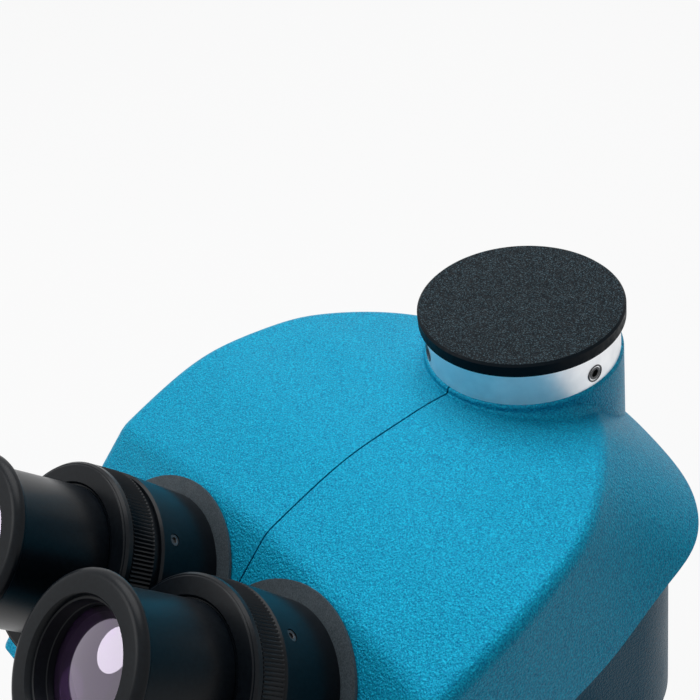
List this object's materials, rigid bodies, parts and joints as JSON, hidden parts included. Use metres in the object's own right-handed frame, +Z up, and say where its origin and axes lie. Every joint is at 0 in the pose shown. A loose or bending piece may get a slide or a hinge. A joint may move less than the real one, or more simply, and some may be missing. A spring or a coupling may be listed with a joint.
{
  "type": "trinocular stereo microscope head",
  "caption": "Trinocular zoom stereo microscope head with a blue helmet casing, inclined eyepiece tubes and a capped photo port.",
  "frame": {"origin": "on the axis of the mount barrel, at its upper shoulder", "axes": "+Z up along the mount barrel, +Y away from the user, +X to the user's right"},
  "size_m": [0.1524, 0.2042, 0.2387],
  "materials": {
    "casing_blue": "grained metallic paint",
    "housing_blue": "grained metallic paint",
    "black_anodised": "black anodised, satin",
    "cap_black": "black wrinkle paint",
    "ring_grey": "dark grey, matt",
    "bright_aluminium": "turned, bright",
    "cast_aluminium": "as machined",
    "steel": "ground",
    "screw_steel": "blackened",
    "brass": "turned",
    "knob_black": "moulded, matt",
    "optical_glass": "coated"
  },
  "bodies": {
    "body": {"body_casting": "housing_blue", "deck_plate": "housing_blue", "mount_barrel": "black_anodised", "objective_housing": "black_anodised", "casing_left": "casing_blue", "casing_right": "casing_blue", "casing_screws": "screw_steel", "beam_splitter": "optical_glass", "photo_prism": "optical_glass", "photo_relay_tube": "black_anodised", "port_ring": "bright_aluminium", "port_set_screws": "screw_steel", "prism_bridge": "cast_aluminium", "objective_cell_left": "brass", "objective_lens_left": "optical_glass", "guide_rods_left": "steel", "folding_prism_left": "optical_glass", "shaft_bush_left": "brass", "objective_cell_right": "brass", "objective_lens_right": "optical_glass", "guide_rods_right": "steel", "folding_prism_right": "optical_glass", "shaft_bush_right": "brass"},
    "port_cap": {"port_cap": "cap_black"},
    "zoom_drive": {"zoom_shaft": "steel", "zoom_cam_disc": "brass", "zoom_knob_left": "knob_black", "zoom_knob_right": "knob_black"},
    "prism_box_left": {"prism_box_left": "cast_aluminium", "erecting_prism_left": "optical_glass", "gear_sector_left": "brass", "eyepiece_tube_left": "black_anodised", "tube_set_screw_left": "screw_steel", "cover_ring_left": "ring_grey"},
    "focus_left": {"focus_sleeve_left": "black_anodised"},
    "dioptre_left": {"dioptre_ring_left": "black_anodised"},
    "eyepiece_left": {"eyepiece_barrel_left": "black_anodised", "eye_lens_left": "optical_glass", "field_lens_left": "optical_glass"},
    "carriage_upper_left": {"carriage_upper_left": "cast_aluminium", "zoom_lens_upper_left": "optical_glass"},
    "carriage_lower_left": {"carriage_lower_left": "cast_aluminium", "zoom_lens_lower_left": "optical_glass"},
    "prism_box_right": {"prism_box_right": "cast_aluminium", "erecting_prism_right": "optical_glass", "gear_sector_right": "brass", "eyepiece_tube_right": "black_anodised", "tube_set_screw_right": "screw_steel", "cover_ring_right": "ring_grey"},
    "focus_right": {"focus_sleeve_right": "black_anodised"},
    "dioptre_right": {"dioptre_ring_right": "black_anodised"},
    "eyepiece_right": {"eyepiece_barrel_right": "black_anodised", "eye_lens_right": "optical_glass", "field_lens_right": "optical_glass"},
    "carriage_upper_right": {"carriage_upper_right": "cast_aluminium", "zoom_lens_upper_right": "optical_glass"},
    "carriage_lower_right": {"carriage_lower_right": "cast_aluminium", "zoom_lens_lower_right": "optical_glass"}
  },
  "joints": [
    {"name": "cap_lift", "type": "slide", "parent": "body", "child": "port_cap", "axis": [0, 0, 1], "range_m": [0, 0.06]},
    {"name": "zoom_turn", "type": "hinge", "parent": "body", "child": "zoom_drive", "pos_m": [0, 0.026, 0.03], "axis": [1, 0, 0], "range_deg": [-100, 100]},
    {"name": "ipd_left", "type": "hinge", "parent": "body", "child": "prism_box_left", "pos_m": [-0.025, -0.047, 0.133], "axis": [0, -0.7071, 0.7071], "range_deg": [-30.2, 1.38]},
    {"name": "dioptre_left", "type": "hinge", "parent": "focus_left", "child": "dioptre_left", "pos_m": [-0.0275, -0.08059, 0.1376], "axis": [0, -0.7071, 0.7071], "range_deg": [-72, 114]},
    {"name": "focus_left", "type": "slide", "parent": "prism_box_left", "child": "focus_left", "axis": [0, -0.7071, 0.7071], "range_m": [-0.0024, 0.0038]},
    {"name": "eyepiece_out_left", "type": "slide", "parent": "focus_left", "child": "eyepiece_left", "axis": [0, -0.7071, 0.7071], "range_m": [0, 0.04]},
    {"name": "slide_upper_left", "type": "slide", "parent": "body", "child": "carriage_upper_left", "axis": [-0.1045, 0, 0.9945], "range_m": [-0.00526, 0.00526]},
    {"name": "slide_lower_left", "type": "slide", "parent": "body", "child": "carriage_lower_left", "axis": [-0.1045, 0, 0.9945], "range_m": [-0.00526, 0.00526]},
    {"name": "ipd_right", "type": "hinge", "parent": "body", "child": "prism_box_right", "pos_m": [0.025, -0.047, 0.133], "axis": [0, -0.7071, 0.7071], "range_deg": [-1.38, 30.2]},
    {"name": "dioptre_right", "type": "hinge", "parent": "focus_right", "child": "dioptre_right", "pos_m": [0.0275, -0.08059, 0.1376], "axis": [0, -0.7071, 0.7071], "range_deg": [0, 186]},
    {"name": "focus_right", "type": "slide", "parent": "prism_box_right", "child": "focus_right", "axis": [0, -0.7071, 0.7071], "range_m": [0, 0.0062]},
    {"name": "eyepiece_out_right", "type": "slide", "parent": "focus_right", "child": "eyepiece_right", "axis": [0, -0.7071, 0.7071], "range_m": [0, 0.04]},
    {"name": "slide_upper_right", "type": "slide", "parent": "body", "child": "carriage_upper_right", "axis": [0.1045, 0, 0.9945], "range_m": [-0.00526, 0.00526]},
    {"name": "slide_lower_right", "type": "slide", "parent": "body", "child": "carriage_lower_right", "axis": [0.1045, 0, 0.9945], "range_m": [-0.00526, 0.00526]}
  ],
  "couplings": [
    {"joint": "focus_left", "follows": "dioptre_left", "m_per_rad": 0.0019099},
    {"joint": "slide_upper_left", "follows": "zoom_turn", "m_per_rad": 0.0030165},
    {"joint": "slide_lower_left", "follows": "zoom_turn", "m_per_rad": -0.0030165},
    {"joint": "focus_right", "follows": "dioptre_right", "m_per_rad": 0.0019099},
    {"joint": "slide_upper_right", "follows": "zoom_turn", "m_per_rad": 0.0030165},
    {"joint": "slide_lower_right", "follows": "zoom_turn", "m_per_rad": -0.0030165},
    {"joint": "ipd_left", "follows": "ipd_right", "ratio": -1}
  ]
}
